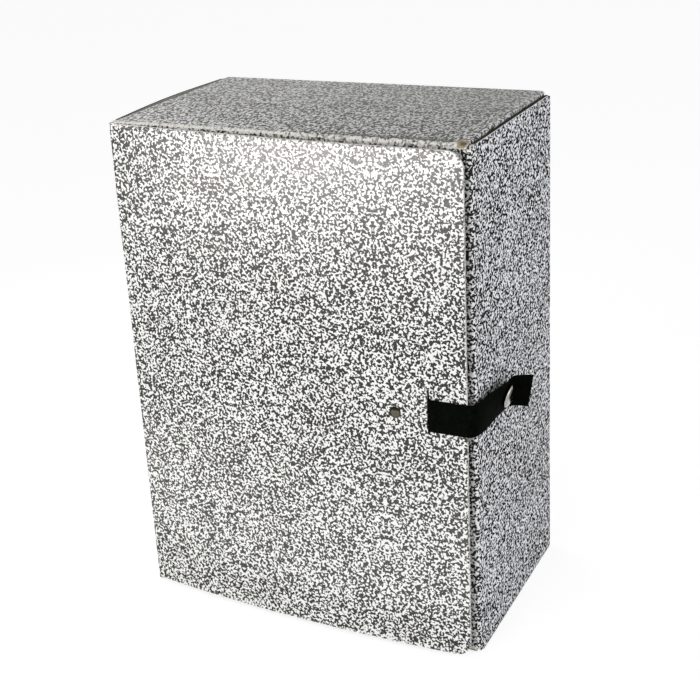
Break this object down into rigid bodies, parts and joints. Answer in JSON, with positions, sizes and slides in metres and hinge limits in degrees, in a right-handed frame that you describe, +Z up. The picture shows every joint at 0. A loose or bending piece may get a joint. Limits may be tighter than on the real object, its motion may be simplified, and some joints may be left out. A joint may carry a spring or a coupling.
{
  "type": "archive box",
  "caption": "Upright archive box of creased board faced with mottled paper; its side-hung front cover is held by a black strap with a press stud on the side wall.",
  "frame": {"origin": "middle of the base of the case, on the surface that it stands on", "axes": "+Z up; -Y is the front, where the cover is; +X is to the right of someone who faces the front"},
  "size_m": [0.2732, 0.1597, 0.35],
  "materials": {
    "mottled_board": "solid board faced with black and white mottled paper, satin",
    "strap": "black imitation leather, fine grain",
    "hinge_tape": "black gummed paper tape",
    "rivet_metal": "dull bronze plating",
    "snap_metal": "nickel plating"
  },
  "bodies": {
    "box": {"left_side_panel": "mottled_board", "back_panel": "mottled_board", "right_side_panel": "mottled_board", "right_front_flange": "mottled_board", "top_panel": "mottled_board", "top_front_lip": "mottled_board", "top_left_tab": "mottled_board", "top_right_tab": "mottled_board", "bottom_panel": "mottled_board", "bottom_front_lip": "mottled_board", "bottom_left_tab": "mottled_board", "bottom_right_tab": "mottled_board", "hinge_tape_wall_leg": "hinge_tape", "snap_stud": "snap_metal", "snap_post": "snap_metal"},
    "cover": {"front_cover": "mottled_board", "hinge_tape_cover_leg": "hinge_tape", "strap_anchor": "strap", "strap_rivet": "rivet_metal", "rivet_washer": "rivet_metal"},
    "strap_tail": {"strap_tail": "strap", "snap_cap": "snap_metal", "snap_socket": "snap_metal"}
  },
  "joints": [
    {"name": "cover_swing", "type": "hinge", "parent": "box", "child": "cover", "pos_m": [-0.127, -0.0763, 0.175], "axis": [0, 0, -1], "range_deg": [0, 178]},
    {"name": "strap_swing", "type": "hinge", "parent": "cover", "child": "strap_tail", "pos_m": [0.12819, -0.08336, 0.175], "axis": [0, 0, -1], "range_deg": [0, 110]}
  ]
}
